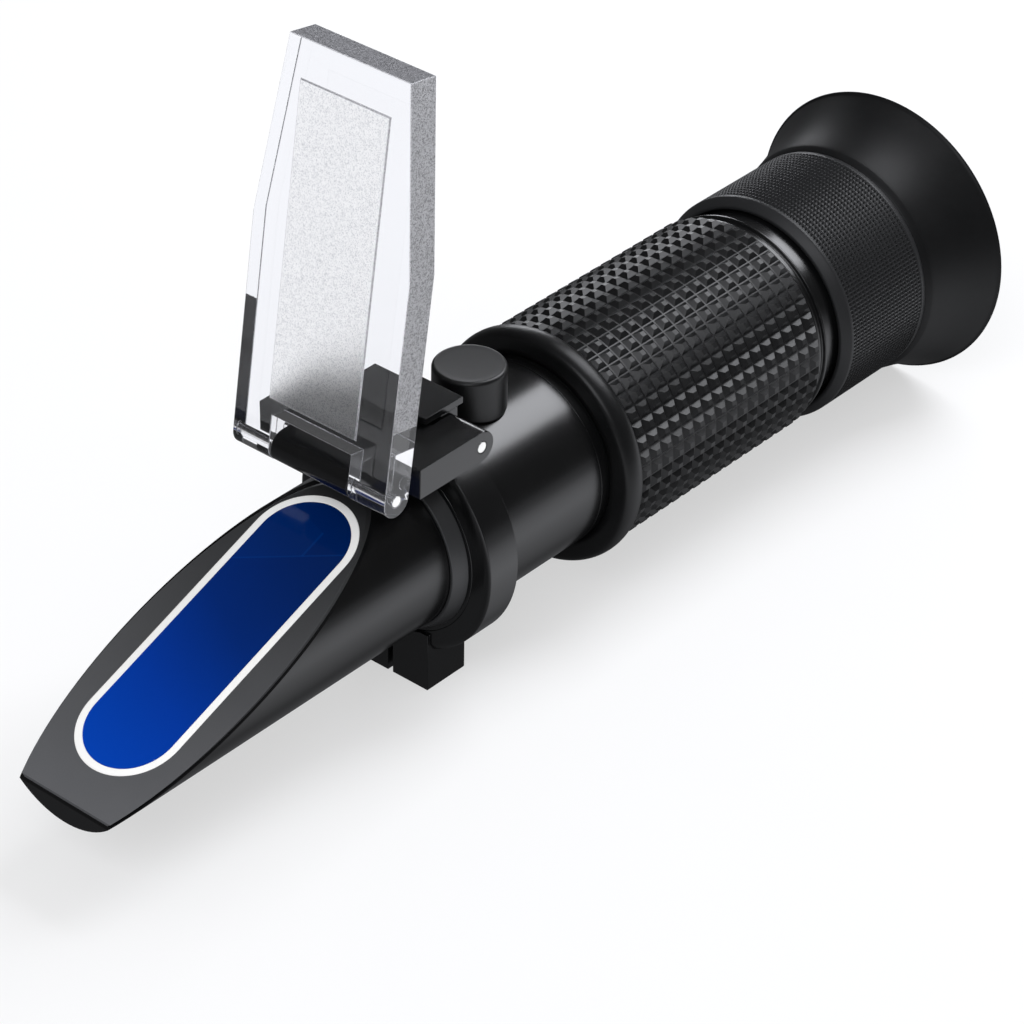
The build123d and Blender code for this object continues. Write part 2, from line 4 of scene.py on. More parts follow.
import bmesh
import bpy
import numpy as np
from mathutils import Matrix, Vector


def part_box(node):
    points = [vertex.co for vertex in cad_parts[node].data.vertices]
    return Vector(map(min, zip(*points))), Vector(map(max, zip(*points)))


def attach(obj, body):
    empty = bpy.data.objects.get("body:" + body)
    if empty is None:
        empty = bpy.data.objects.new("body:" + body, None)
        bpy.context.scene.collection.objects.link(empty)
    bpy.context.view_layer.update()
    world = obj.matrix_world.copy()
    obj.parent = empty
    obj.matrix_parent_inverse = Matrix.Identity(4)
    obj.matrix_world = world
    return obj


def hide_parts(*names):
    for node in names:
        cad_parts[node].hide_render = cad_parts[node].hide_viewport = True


# Looks of a hand-held brix refractometer whose clear cover stands open.
# Lengths in the named values are millimetres in the optical frame: station is measured along the
# optical axis from the nose tip, and height is measured from that axis. row() turns them into
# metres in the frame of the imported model. A pair is (station, radius) unless a comment says more.

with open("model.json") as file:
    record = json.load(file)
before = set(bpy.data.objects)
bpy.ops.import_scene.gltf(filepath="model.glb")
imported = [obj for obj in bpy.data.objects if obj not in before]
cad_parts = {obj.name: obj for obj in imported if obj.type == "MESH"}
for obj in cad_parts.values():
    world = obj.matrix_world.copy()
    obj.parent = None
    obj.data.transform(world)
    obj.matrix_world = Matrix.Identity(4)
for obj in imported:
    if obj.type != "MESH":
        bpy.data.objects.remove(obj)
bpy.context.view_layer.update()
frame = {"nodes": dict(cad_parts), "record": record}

MM = 0.001
TOTAL_LENGTH = 160.0
AXIS_HEIGHT = 0.5 * (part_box("eyecup")[0][2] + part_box("eyecup")[1][2]) / MM

# Turned outlines: a corner's curve takes at most CORNER_SHARE of its shorter side, and a point
# FLAT_SHARE of the curve's reach further on keeps the flat beside it flat when shaded
TURN_STEPS = 192
CORNER_STEPS = 5
CORNER_R = 0.15
CORNER_SHARE = 0.35
FLAT_SHARE = 0.3

# Tube, collar and nose
NOSE_R = 11.5
SLOPE_BACK = 53.0
COLLAR_FRONT = 55.2
COLLAR_FRONT_R = 11.9
COLLAR_BACK_R = 12.8
TUBE_R = 13.25
TUBE_FRONT = 57.3
TUBE_LINE = 82.2
TUBE_LINE_WIDTH = 0.16
TUBE_LINE_DEPTH = 0.08
TUBE_SHOULDER = 125.3
TUBE_NECK_R = 14.5
TUBE_BACK = 137.5
TUBE_BORE_R = 11.5
THREAD_BORE_R = 12.4
THREAD_BORE_FRONT = 104.0

# Grip; PYRAMID_TOP_LINE is the grid line of a cell where its flat top starts, and
# GRIP_FACE_RINGS are rings on the front and back faces, measured out from the tube
GRIP_FRONT = 84.0
GRIP_BACK = 125.3
GRIP_FACE_RINGS = (0.9, 0.5)
BEAD_BACK = 87.4
BEAD_R = 16.5
BEAD_STEPS = 17
BEAD_FULLNESS = 0.8
BEAD_STEP_DOWN = 0.05
PYRAMID_TIP_R = 15.9
PYRAMID_DEPTH = 0.55
PYRAMIDS_ROUND = 48
PYRAMID_ROWS = 17
PYRAMID_FLOOR = 0.91
PYRAMID_TOP = 0.34
PYRAMID_TOP_LINE = 2
END_RING_R = 15.3
END_RING_BACK = 127.2
END_RING_CORNER_R = 0.12
END_RING_GROOVE_R = 14.8
END_RING_FRONT_LAND = 0.4
END_RING_BACK_LAND = 0.35
END_RING_RAMP = 0.2

# Focus ring; its chamfer is (distance behind the front, depth under FOCUS_R), point by point
FOCUS_FRONT = 130.1
FOCUS_BACK = 148.0
FOCUS_R = 16.4
FOCUS_SKIRT_R = 14.9
FOCUS_SKIRT_BACK = 141.0
FOCUS_SPIGOT_R = 14.2
FOCUS_SPIGOT_BACK = 151.5
FOCUS_CHAMFER = ((0, 1.12), (0.04, 1.02), (0.1, 0.94), (0.94, 0.12), (1.04, 0.05), (1.16, 0.03))
FOCUS_LAND_DEPTH = 0.03
FOCUS_BACK_EDGE = (0.1, 0.12)
EYE_TUBE_R = 12.35
KNURL_FRONT = 131.6
KNURL_BACK = 147.2
KNURL_ROUND = 182
KNURL_ROWS = 20
KNURL_BREAKS = (0.0, 0.26, 0.74)
KNURL_AT_BREAKS = (0.0, 1.0, 1.0)
KNURL_DEPTH = 0.27
KNURL_CREST_DEPTH = 0.02
KNURL_MARGIN = 0.1

# Eyecup; its front edge is (distance behind the focus ring, depth under FOCUS_R), point by point
CUP_FRONT_EDGE = ((0, 0.25), (0.06, 0.1), (0.2, 0))
CUP_LIP_BACK = 149.05
CUP_LIP_R = 16.9
CUP_LIP_LEAD = (0.25, 0.08)
CUP_RIM_R = 20.8
CUP_RIM_DEPTH = 0.35
CUP_RIM_STEPS = 9
CUP_WALL = 1.2
CUP_STEPS = 25
CUP_SAG = 0.45
CUP_INNER_SAG = 0.225
CUP_SEAT = 0.2

# Calibration cap; its foot's rows rise over the tube by CAP_FOOT_RISES
CAP_STEPS = 96
CAP_STATION = 71.6
CAP_TOP = 18.8
CAP_R = 4.8
CAP_DISH = 0.06
CAP_TOP_RADII = (0.6, 1.2, 2.4, 3.4, 4.15)
CAP_EDGE = 0.5
CAP_EDGE_STEPS = 9
CAP_WALL_DROP = 0.2
CAP_FOOT_EDGE = 0.15
CAP_FOOT_RISES = (0.3, 0.12, 0.0, 0.0)
CAP_BORE_R = 3.55
CAP_BORE_MIDDLE_R = 0.5
CAP_BORE_TOP = 17.6
CAP_SADDLE_R = 13.4

# Cover
COVER_PIN_STATION = 44.3
COVER_PIN_HEIGHT = 17.4
COVER_LEAN = math.radians(8.7)
COVER_HALF = 2.15
COVER_BEVEL = 0.14
COVER_BEVEL_STEPS = 3
COVER_LOOKS = ("clear_acrylic", "frosted_face", "frosted_edge", "frosted_top", "cut_edge")
PAD_HEIGHT = 0.2
COVER_SIDE_Y = 8.0
COVER_TOP_RISE = 40.0
FACING = 0.9
FROST_FROM = 9.5

# Worked copies of CAD nodes: points nearer than MERGE_METRES become one, flats within FLAT_TURN
# are joined, and edges that turn by more than BEVEL_TURN are bevelled
MERGE_METRES = 2e-6
FLAT_TURN = math.radians(0.6)
BEVEL_TURN = math.radians(28)
BEVEL_STEPS = 2

# Colours; WINDOW_TONES is painted falloff of light that runs from the nose end of the blue window
# to its hinge end, and a tone's place changes across the window by WINDOW_SHEAR a millimetre
COOL = (0.94, 0.955, 1.0)
CLEAR_TONE = (0.945, 0.952, 0.985)
WINDOW_FRONT = 5.0
WINDOW_LENGTH = 42.0
WINDOW_SHEAR = -0.012
WINDOW_TONES = [(0.0, (0.0, 0.047, 0.39, 1)), (0.28, (0.0, 0.034, 0.30, 1)),
                (0.55, (0.0, 0.020, 0.160, 1)), (0.8, (0.0, 0.015, 0.110, 1)),
                (1.0, (0.0, 0.013, 0.085, 1))]

# Faint back edges of the prism in the window: (station on the axis, slant across), the side that
# the band reaches to, half the line's width, the spur's two sides, and how strong each mark is
EDGE_FRONT = (38.5, 0.55)
EDGE_BACK = (43.5, 0.25)
EDGE_SIDE = -1.5
EDGE_LINE_HALF = 0.12
EDGE_SPUR = (-1.7, -1.4)
EDGE_TONE = (0.0, 0.016, 0.075, 1)
EDGE_BAND_SHARE = 0.12
EDGE_LINE_SHARE = 0.5

ACRYLIC_IOR = 1.49
LENS_IOR = 1.52

# Floor: direct rays see it lit and glowing to white, and the glow makes up for the lamps' fall
# beyond FLOOR_LIT_TO metres; mirrored rays see it lit on the near side only, by NEAR_STOPS
FLOOR_HALF = 4.0
FLOOR_TONE = 0.30
FLOOR_CLOUD = 0.01
FLOOR_CLOUD_SIZE = 40.0
FLOOR_GLOW = 0.57
FLOOR_FAR_GLOW = 0.30
FLOOR_LIT_TO = 0.42
FLOOR_DARK_FROM = 0.85
NEAR_GLOSS = 1.45
NEAR_GLOSS_TO = 160.0
FAR_GLOSS = 0.10
NEAR_STOPS = ((0.08, FAR_GLOSS), (0.26, 1.0), (0.40, 1.0), (1.0, 0.3))
WORLD_FILL = 0.42
GLOSS_SKY = 0.07

# Lamps: name, direction from the object, distance and size in metres, watts
LAMP_TARGET = (85.0, 0, 5.0)
LAMPS = [("strip_above", (0.62, -0.10, 0.77), 0.75, (0.42, 0.55), 5.8),
         ("wall_far", (0.72, 0.67, 0.20), 0.9, (0.30, 0.22), 1.4),
         ("key_near", (-0.80, -0.30, 0.80), 1.2, (0.9, 0.6), 9.0)]

# Camera, matched to the photo; its place is right, down and back from the nose tip
VIEW_TURN = math.radians(-49.769)
VIEW_RISE = math.radians(34.694)
VIEW_ROLL = math.radians(1.141)
VIEW_PLACE = (-51.949, 24.536, 453.781)
VIEW_FOCUS_PX = 3917.4
VIEW_CENTRE_PX = (508.07, 532.75)
VIEW_CLIP = (0.01, 20.0)
IMAGE_PX = 1024
SENSOR = 36.0

# Sockets that are named by their number
OBJECT_COORDINATES = 3
MIX_A, MIX_B, MIX_COLOUR = 6, 7, 2
LENGTH_OUT = 1
IS_CAMERA, IS_GLOSSY, IS_TRANSMISSION = 0, 3, 6


def row(station, y, height):
    """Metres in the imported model's frame for arrays or numbers in the optical frame."""
    return np.stack(np.broadcast_arrays((np.asarray(station) - TOTAL_LENGTH / 2) * MM,
                                        np.asarray(y) * MM,
                                        (np.asarray(height) + AXIS_HEIGHT) * MM), axis=-1)


def station_x(station):
    """The row's x in metres at a station."""
    return float(row(station, 0, 0)[0])


COVER_PIN = row(COVER_PIN_STATION, 0, COVER_PIN_HEIGHT)


# Mesh building
def mesh_object(name, points, faces, smooth=True):
    """A piece from its points and faces; smooth is one flag or one flag a face."""
    mesh = bpy.data.meshes.new(name)
    mesh.from_pydata(points.reshape(-1, 3).tolist(), [], faces.tolist())
    flags = np.broadcast_to(np.asarray(smooth, dtype=bool), (len(mesh.polygons),))
    mesh.polygons.foreach_set("use_smooth", np.ascontiguousarray(flags))
    mesh.update()
    piece = bpy.data.objects.new(name, mesh)
    bpy.context.scene.collection.objects.link(piece)
    return piece


def ring_quads(rows, columns):
    """Quads of a grid that closes both ways, numbered row by row."""
    i, j = np.meshgrid(np.arange(rows), np.arange(columns), indexing="ij")
    up, on = (i + 1) % rows, (j + 1) % columns
    corners = (i * columns + j, i * columns + on, up * columns + on, up * columns + j)
    return np.stack(corners, axis=-1).reshape(-1, 4)


def capped_object(name, points):
    """A closed piece from rings of points, (rows, columns, 3), with a fan closing each end."""
    rows, columns = points.shape[:2]
    quads = ring_quads(rows, columns)[:(rows - 1) * columns]
    triangles = np.concatenate([quads[:, [0, 1, 2]], quads[:, [0, 2, 3]]])
    here = np.arange(columns)
    onward = (here + 1) % columns
    last = (rows - 1) * columns
    first_middle = np.full(columns, rows * columns)
    first_fan = np.stack([first_middle, onward, here], axis=1)
    last_fan = np.stack([first_middle + 1, last + here, last + onward], axis=1)
    middles = points[[0, -1]].mean(axis=1)
    return mesh_object(name, np.concatenate([points.reshape(-1, 3), middles]),
                       np.concatenate([triangles, first_fan, last_fan]))


def rounded(corners, radius=CORNER_R):
    """Outline with each corner replaced by a quadratic curve between two points of its sides.

    With unit directions a back and b ahead and reach r, a corner c becomes
    (1-t)^2 (c + r a) + 2 t (1-t) c + t^2 (c + r b), with one more point further along each side.
    """
    corners = np.asarray(corners, dtype=float)
    back, ahead = np.roll(corners, 1, axis=0) - corners, np.roll(corners, -1, axis=0) - corners
    back_length, ahead_length = np.linalg.norm(back, axis=1), np.linalg.norm(ahead, axis=1)
    reach = np.minimum(radius, CORNER_SHARE * np.minimum(back_length, ahead_length))[:, None]
    back, ahead = back / back_length[:, None], ahead / ahead_length[:, None]
    t = np.linspace(0, 1, CORNER_STEPS)[None, :, None]
    middle = corners[:, None]
    low, high = middle + (reach * back)[:, None], middle + (reach * ahead)[:, None]
    curve = (1 - t) ** 2 * low + 2 * t * (1 - t) * middle + t ** 2 * high
    flat_low, flat_high = low + FLAT_SHARE * (low - middle), high + FLAT_SHARE * (high - middle)
    return np.concatenate([flat_low, curve, flat_high], axis=1).reshape(-1, 2)


def carried_round(stations, radii, turn):
    """Points (station, radius cos turn, radius sin turn) over grids that broadcast together."""
    return row(stations + 0 * turn, radii * np.cos(turn), radii * np.sin(turn))


def turned_mesh(name, outline):
    """A closed ring: an outline of (station, radius) pairs turned once round the optical axis."""
    turn = np.linspace(0, 2 * np.pi, TURN_STEPS, endpoint=False)[None, :]
    points = carried_round(outline[:, :1], outline[:, 1:], turn)
    return mesh_object(name, points, ring_quads(len(outline), TURN_STEPS)[:, ::-1])


def turned(name, corners, radius=CORNER_R):
    """A closed ring from corners that run back along the outside and return along the inside."""
    return turned_mesh(name, rounded(corners, radius))


def worked_copy(node, bevel, steps=BEVEL_STEPS):
    """Copy of a CAD node with its points merged, its flats joined and its edges bevelled."""
    source = frame["nodes"][node]
    work = bmesh.new()
    work.from_mesh(source.data)
    work.transform(source.matrix_world)
    bmesh.ops.remove_doubles(work, verts=work.verts, dist=MERGE_METRES)
    bmesh.ops.dissolve_limit(work, angle_limit=FLAT_TURN, verts=work.verts, edges=work.edges)
    for face in work.faces:
        face.smooth = True
    mesh = bpy.data.meshes.new(node)
    work.to_mesh(mesh)
    work.free()
    piece = bpy.data.objects.new(node + "_look", mesh)
    bpy.context.scene.collection.objects.link(piece)
    cut = piece.modifiers.new("bevel", "BEVEL")
    cut.width = bevel * MM
    cut.segments = steps
    cut.limit_method = "ANGLE"
    cut.angle_limit = BEVEL_TURN
    cut.use_clamp_overlap = True
    weigh = piece.modifiers.new("weigh", "WEIGHTED_NORMAL")
    weigh.weight = 100
    weigh.keep_sharp = True
    return piece


replaced = set()


def settle(piece, body, node, material=None):
    """Gives a piece its body and, if named, its material, and hides and lists the CAD node it
    replaces.
    """
    if material is not None:
        piece.data.materials.append(material)
    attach(piece, body)
    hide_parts(node)
    replaced.add(node)


# Shader building
class Signal:
    """One output socket. Arithmetic on it adds Math nodes to its material."""

    def __init__(self, shade, socket):
        self.shade = shade
        self.socket = socket

    def _math(self, operation, first, second):
        return self.shade.node("Math", {"operation": operation}, {0: first, 1: second})

    def __add__(self, other):
        return self._math("ADD", self, other)

    def __radd__(self, other):
        return self._math("ADD", other, self)

    def __sub__(self, other):
        return self._math("SUBTRACT", self, other)

    def __rsub__(self, other):
        return self._math("SUBTRACT", other, self)

    def __mul__(self, other):
        return self._math("MULTIPLY", self, other)

    def __rmul__(self, other):
        return self._math("MULTIPLY", other, self)

    def __gt__(self, other):
        return self._math("GREATER_THAN", self, other)

    def __lt__(self, other):
        return self._math("LESS_THAN", self, other)


class Shade:
    """A node tree under construction, a new material's unless one is handed in."""

    def __init__(self, name, tree=None):
        self.material = None
        if tree is None:
            self.material = bpy.data.materials.new(name)
            self.material.use_nodes = True
            tree = self.material.node_tree
        self.tree = tree
        self.tree.nodes.clear()

    def node(self, kind, settings=None, inputs=None, out=0):
        """Adds a node: its settings first, a ramp's stops among them, then its sockets."""
        made = self.tree.nodes.new("ShaderNode" + kind)
        for key, value in (settings or {}).items():
            if key == "stops":
                self._stops(made.color_ramp, value)
            else:
                setattr(made, key, value)
        for key, value in (inputs or {}).items():
            if isinstance(value, Signal):
                self.tree.links.new(value.socket, made.inputs[key])
            else:
                made.inputs[key].default_value = value
        return Signal(self, made.outputs[out]) if len(made.outputs) else made

    @staticmethod
    def _stops(ramp, stops):
        while len(ramp.elements) < len(stops):
            ramp.elements.new(1.0)
        for element, (place, colour) in zip(ramp.elements, stops):
            element.position = place
            element.color = colour

    def place(self, scale=(1, 1, 1)):
        """Object coordinates in metres, scaled."""
        coordinates = self.node("TexCoord", out=OBJECT_COORDINATES)
        return self.node("Mapping", {"vector_type": "POINT"},
                         {"Vector": coordinates, "Scale": scale})

    def part_of_place(self, axis):
        """One of the three object coordinates in metres."""
        return self.node("SeparateXYZ", None, {"Vector": self.place()}, out=axis)

    def noise(self, size_mm, detail=3.0, scale=(1, 1, 1), roughness=0.55):
        """Noise whose grains are about size_mm across, from 0 to 1."""
        return self.node("TexNoise", None, {"Vector": self.place(scale), "Detail": detail,
                                            "Scale": 1 / (size_mm * MM), "Roughness": roughness})

    def mix(self, factor, first, second, blend="MIX"):
        """Colour mixed by a factor from two colours, each a signal or four numbers."""
        return self.node("Mix", {"data_type": "RGBA", "blend_type": blend},
                         {0: factor, MIX_A: first, MIX_B: second}, out=MIX_COLOUR)

    def tint(self, factor, low, high):
        """Colour between two colours of three numbers."""
        return self.mix(factor, (*low, 1), (*high, 1))

    def ramp(self, factor, *stops):
        """Number that follows straight lines between stops of (factor, number)."""
        greys = [(place, (value, value, value, 1)) for place, value in stops]
        return self.node("ValToRGB", {"stops": greys}, {"Fac": factor})

    def bump(self, height, strength, depth_mm):
        """Normal bent by a height from 0 to 1 that stands for depth_mm."""
        return self.node("Bump", None,
                         {"Height": height, "Strength": strength, "Distance": depth_mm * MM})

    def surface(self, **looks):
        """Principled surface wired to the output; a look's name has _ for each space."""
        inputs = {key.replace("_", " "): value for key, value in looks.items()}
        shader = self.node("BsdfPrincipled", None, inputs)
        self.node("OutputMaterial", None, {"Surface": shader})
        return self.material


def grey(level):
    """A grey that leans a little to blue."""
    return tuple(level * part for part in COOL)


def anodised(name, level, roughness, grain_mm=0.16, grain_depth=0.006, sparkle=0.25, fade=0.0,
             gloss=0.5):
    """Blasted and anodised aluminium: fine grain in the height, clouding in gloss and colour.

    A falloff share makes it lose that share of its tone evenly from the nose tip to the end of the
    slope; this is painted falloff of light.
    """
    shade = Shade(name)
    grain = shade.noise(grain_mm, detail=4.0)
    cloud = shade.noise(9.0, detail=2.0)
    rub = shade.ramp(shade.noise(2.4, detail=5.0, scale=(0.35, 1, 1)), (0.55, 0.0), (0.72, 1.0))
    tone = shade.tint(grain * 0.6 + cloud * 0.4,
                      grey(level * (1 - sparkle)), grey(level * (1 + sparkle)))
    # Painted falloff of light: the tone darkens evenly from the nose tip to the end of the slope
    if fade:
        along = (shade.part_of_place(0) - station_x(0)) * (1 / (SLOPE_BACK * MM))
        tone = shade.mix(shade.ramp(along, (0.0, 0.0), (1.0, fade)), tone, (0, 0, 0, 1))
    rough = roughness - 0.05 + cloud * 0.08 + rub * 0.03
    return shade.surface(Base_Color=tone, Roughness=rough, Specular_IOR_Level=gloss,
                         Normal=shade.bump(grain, strength=0.35, depth_mm=grain_depth))


def moulded_rubber(name, level, roughness, gloss):
    """Moulded rubber: pores in the height, pale bloom in patches and uneven gloss."""
    shade = Shade(name)
    pores = shade.noise(0.1)
    patches = shade.noise(5.0, detail=4.0)
    dust = shade.ramp(shade.noise(0.9, detail=6.0), (0.5, 0.0), (0.75, 1.0))
    tone = shade.tint(patches * 0.5 + dust * 0.25, grey(level * 0.8), grey(level * 1.5))
    rough = roughness - 0.04 + patches * 0.1
    return shade.surface(Base_Color=tone, Roughness=rough, Specular_IOR_Level=gloss,
                         Normal=shade.bump(pores, strength=0.5, depth_mm=0.008))


def turned_metal(name, colour, roughness, mark_scale=(1, 1, 1)):
    """Bare metal with tool marks, drawn out along the axes whose mark_scale is small."""
    shade = Shade(name)
    marks = shade.noise(0.05, detail=2.0, scale=mark_scale)
    cloud = shade.noise(1.5)
    tone = shade.tint(marks * 0.5 + cloud * 0.5, tuple(0.8 * part for part in colour), colour)
    return shade.surface(Base_Color=tone, Roughness=roughness - 0.08 + marks * 0.16,
                         Metallic=1.0, Normal=shade.bump(marks, strength=0.3, depth_mm=0.004))


def silicone(name):
    """Smooth white silicone of the window's seal, faintly greyer in places."""
    shade = Shade(name)
    cloud = shade.noise(3.0, detail=4.0)
    fine = shade.noise(0.1)
    tone = shade.tint(cloud, (0.90, 0.89, 0.86), (0.97, 0.96, 0.93))
    return shade.surface(Base_Color=tone, Roughness=0.32 + cloud * 0.1,
                         Normal=shade.bump(fine, strength=0.2, depth_mm=0.004))


def blue_window(name):
    """Blue optical glass with a faint inner edge; painted falloff of light makes it bright at the
    nose end and deep towards the hinge.

    The prism's back edges show near the hinge end as a faint band between two slanting lines,
    with a thin line along its front and a short spur on one side.
    """
    shade = Shade(name)
    along, across = shade.part_of_place(0), shade.part_of_place(1)
    share = (along - station_x(WINDOW_FRONT)) * (1 / (WINDOW_LENGTH * MM)) \
        + across * (WINDOW_SHEAR / MM)
    # Painted falloff of light: the window's blue is bright at the nose end and dark towards the
    # hinge
    depth = shade.node("ValToRGB", {"stops": WINDOW_TONES}, {"Fac": share})
    behind_front = along - station_x(EDGE_FRONT[0]) + across * EDGE_FRONT[1]
    behind_back = along - station_x(EDGE_BACK[0]) - across * EDGE_BACK[1]
    between = (behind_front > 0) * (behind_back < 0)
    band = between * (across > EDGE_SIDE * MM)
    line = (behind_front > -EDGE_LINE_HALF * MM) * (behind_front < EDGE_LINE_HALF * MM)
    spur = (across > EDGE_SPUR[0] * MM) * (across < EDGE_SPUR[1] * MM) * between
    marks = band * EDGE_BAND_SHARE + line * EDGE_LINE_SHARE + spur * EDGE_LINE_SHARE
    colour = shade.mix(marks, depth, EDGE_TONE, "ADD")
    smear = shade.noise(6.0)
    return shade.surface(Base_Color=colour, Roughness=0.05 + smear * 0.05, Specular_IOR_Level=0.3)


def clear_acrylic(name):
    """Polished acrylic sheet with faint smears and a slow wave in its face."""
    shade = Shade(name)
    smear = shade.noise(7.0)
    wave = shade.noise(4.0, detail=1.0)
    return shade.surface(Base_Color=shade.tint(smear, CLEAR_TONE, (0.955, 0.960, 0.99)),
                         Roughness=0.008 + smear * 0.02, IOR=ACRYLIC_IOR, Transmission_Weight=1.0,
                         Normal=shade.bump(wave, strength=0.05, depth_mm=0.002))


def frosted_acrylic(name, low, high, roughness, depth_mm, haze, grain_mm=0.20, frost_from=None):
    """Blasted acrylic: grain scatters the light, and a share of it comes straight back as haze.

    Its tone goes from low in the grain's pits to high. frost_from is a height up the plate from
    its pin, below which the plate is left polished.
    """
    shade = Shade(name)
    grain = shade.noise(grain_mm, detail=4.0, roughness=0.7)
    coarse = shade.noise(grain_mm * 2.6)
    speck = shade.ramp(grain * 0.8 + coarse * 0.2, (0.415, 0.0), (0.53, 1.0))
    amount = (speck * 0.4 + 0.8) * haze
    if frost_from is None:
        colour = body = shade.tint(speck, low, high)
        rough = roughness + 0.01
    else:
        rise = (shade.part_of_place(0) - float(COVER_PIN[0])) * math.sin(COVER_LEAN) \
            + (shade.part_of_place(2) - float(COVER_PIN[2])) * math.cos(COVER_LEAN)
        frost = rise > frost_from * MM
        grain = grain * frost
        colour = shade.tint(speck * frost, low, high)
        body = shade.mix(frost, (*CLEAR_TONE, 1), colour)
        rough = frost * roughness + 0.01
        amount = amount * frost
    normal = shade.bump(grain, strength=0.9, depth_mm=depth_mm)
    clear = shade.node("BsdfPrincipled", None,
                       {"Base Color": body, "Roughness": rough, "IOR": ACRYLIC_IOR,
                        "Transmission Weight": 1.0, "Normal": normal})
    milk = shade.node("BsdfPrincipled", None,
                      {"Base Color": colour, "Roughness": 0.7, "Normal": normal})
    both = shade.node("MixShader", None, {0: amount, 1: clear, 2: milk})
    shade.node("OutputMaterial", None, {"Surface": both})
    return shade.material


def lens_glass(name):
    """Coated optical glass whose tint drifts a little."""
    shade = Shade(name)
    coat = shade.noise(8.0, detail=2.0)
    return shade.surface(Base_Color=shade.tint(coat, (0.90, 0.94, 0.99), (0.97, 0.96, 0.99)),
                         Roughness=0.01 + coat * 0.02, IOR=LENS_IOR, Transmission_Weight=1.0)


recipes = [
    (anodised, "satin_black", dict(level=0.0045, roughness=0.23)),
    # The bezel's tone darkens towards the hinge end as painted falloff of light
    (anodised, "bezel_grey", dict(level=0.100, roughness=0.50, grain_mm=0.12, grain_depth=0.008,
                                  sparkle=0.15, fade=0.9)),
    (anodised, "knurled_black", dict(level=0.019, roughness=0.42, gloss=0.19)),
    (anodised, "matt_black", dict(level=0.006, roughness=0.55, grain_mm=0.2, grain_depth=0.02)),
    (anodised, "collar_black", dict(level=0.030, roughness=0.42)),
    (silicone, "white_seal", {}),
    (blue_window, "blue_glass", {}),
    (lens_glass, "lens_glass", {}),
    (clear_acrylic, "clear_acrylic", {}),
    (frosted_acrylic, "frosted_face", dict(low=(0.50, 0.51, 0.535), high=(1.0, 1.0, 1.0),
                                           roughness=0.27, depth_mm=0.05, haze=0.10,
                                           grain_mm=0.18)),
    # The near edge and the top end are darker copies of the frosted acrylic: painted shade
    (frosted_acrylic, "frosted_edge", dict(low=(0.19, 0.19, 0.20), high=(0.57, 0.57, 0.59),
                                           roughness=0.45, depth_mm=0.08, haze=0.85,
                                           frost_from=FROST_FROM)),
    (frosted_acrylic, "frosted_top", dict(low=(0.040, 0.040, 0.045), high=(0.145, 0.145, 0.155),
                                          roughness=0.45, depth_mm=0.08, haze=0.85)),
    (frosted_acrylic, "cut_edge", dict(low=(0.42, 0.42, 0.44), high=(0.62, 0.62, 0.65),
                                       roughness=0.12, depth_mm=0.03, haze=0.45)),
    (turned_metal, "pin_steel", dict(colour=(0.86, 0.85, 0.82), roughness=0.24)),
    (turned_metal, "screw_steel", dict(colour=(0.22, 0.22, 0.23), roughness=0.38)),
    (turned_metal, "strip_steel", dict(colour=(0.52, 0.49, 0.44), roughness=0.34,
                                       mark_scale=(0.05, 1, 1))),
    (turned_metal, "turned_brass", dict(colour=(0.72, 0.55, 0.27), roughness=0.28,
                                        mark_scale=(0.2, 0.2, 1))),
    (moulded_rubber, "cap_rubber", dict(level=0.0045, roughness=0.40, gloss=0.42)),
    (moulded_rubber, "grip_rubber", dict(level=0.0060, roughness=0.34, gloss=0.22)),
    (moulded_rubber, "grip_pyramids", dict(level=0.0075, roughness=0.36, gloss=0.27)),
    (moulded_rubber, "cup_rubber", dict(level=0.0060, roughness=0.42, gloss=0.15)),
    (moulded_rubber, "seal_rubber", dict(level=0.008, roughness=0.45, gloss=0.4)),
]
looks = {name: recipe(name, **settings) for recipe, name, settings in recipes}

# Turned pieces of the barrel: a tube with one fine turned line, a tapered collar, and the grip's
# end ring with a shallow groove
line_back = TUBE_LINE + TUBE_LINE_WIDTH
line_floor_r = TUBE_R - TUBE_LINE_DEPTH
tube_corners = [(TUBE_FRONT, TUBE_R), (TUBE_LINE, TUBE_R), (TUBE_LINE, line_floor_r),
                (line_back, line_floor_r), (line_back, TUBE_R), (TUBE_SHOULDER, TUBE_R),
                (TUBE_SHOULDER, TUBE_NECK_R), (TUBE_BACK, TUBE_NECK_R), (TUBE_BACK, THREAD_BORE_R),
                (THREAD_BORE_FRONT, THREAD_BORE_R), (THREAD_BORE_FRONT, TUBE_BORE_R),
                (TUBE_FRONT, TUBE_BORE_R)]
collar_corners = [(COLLAR_FRONT, COLLAR_FRONT_R), (TUBE_FRONT, COLLAR_BACK_R),
                  (TUBE_FRONT, NOSE_R), (COLLAR_FRONT, NOSE_R)]
groove_front = TUBE_SHOULDER + END_RING_FRONT_LAND
groove_back = END_RING_BACK - END_RING_BACK_LAND
end_ring_corners = [(TUBE_SHOULDER, END_RING_R), (groove_front, END_RING_R),
                    (groove_front + END_RING_RAMP, END_RING_GROOVE_R),
                    (groove_back - END_RING_RAMP, END_RING_GROOVE_R),
                    (groove_back, END_RING_R), (END_RING_BACK, END_RING_R),
                    (END_RING_BACK, TUBE_NECK_R), (TUBE_SHOULDER, TUBE_NECK_R)]
settle(turned("main_tube_look", tube_corners), "barrel", "main_tube",
       looks["satin_black"])
settle(turned("nose_collar_look", collar_corners), "barrel", "nose_collar",
       looks["collar_black"])
settle(turned("grip_end_ring_look", end_ring_corners, END_RING_CORNER_R), "barrel",
       "grip_end_ring", looks["satin_black"])


# Grip
def pyramid_height(across, along):
    """Share of the pyramid's height at cell coordinates from -1 to 1.

    It is 0 where the larger of |across| and |along| passes PYRAMID_FLOOR, 1 where it is below
    PYRAMID_TOP, and a straight slope between them.
    """
    larger = np.maximum(np.abs(across), np.abs(along))
    return np.clip((PYRAMID_FLOOR - larger) / (PYRAMID_FLOOR - PYRAMID_TOP), 0, 1)


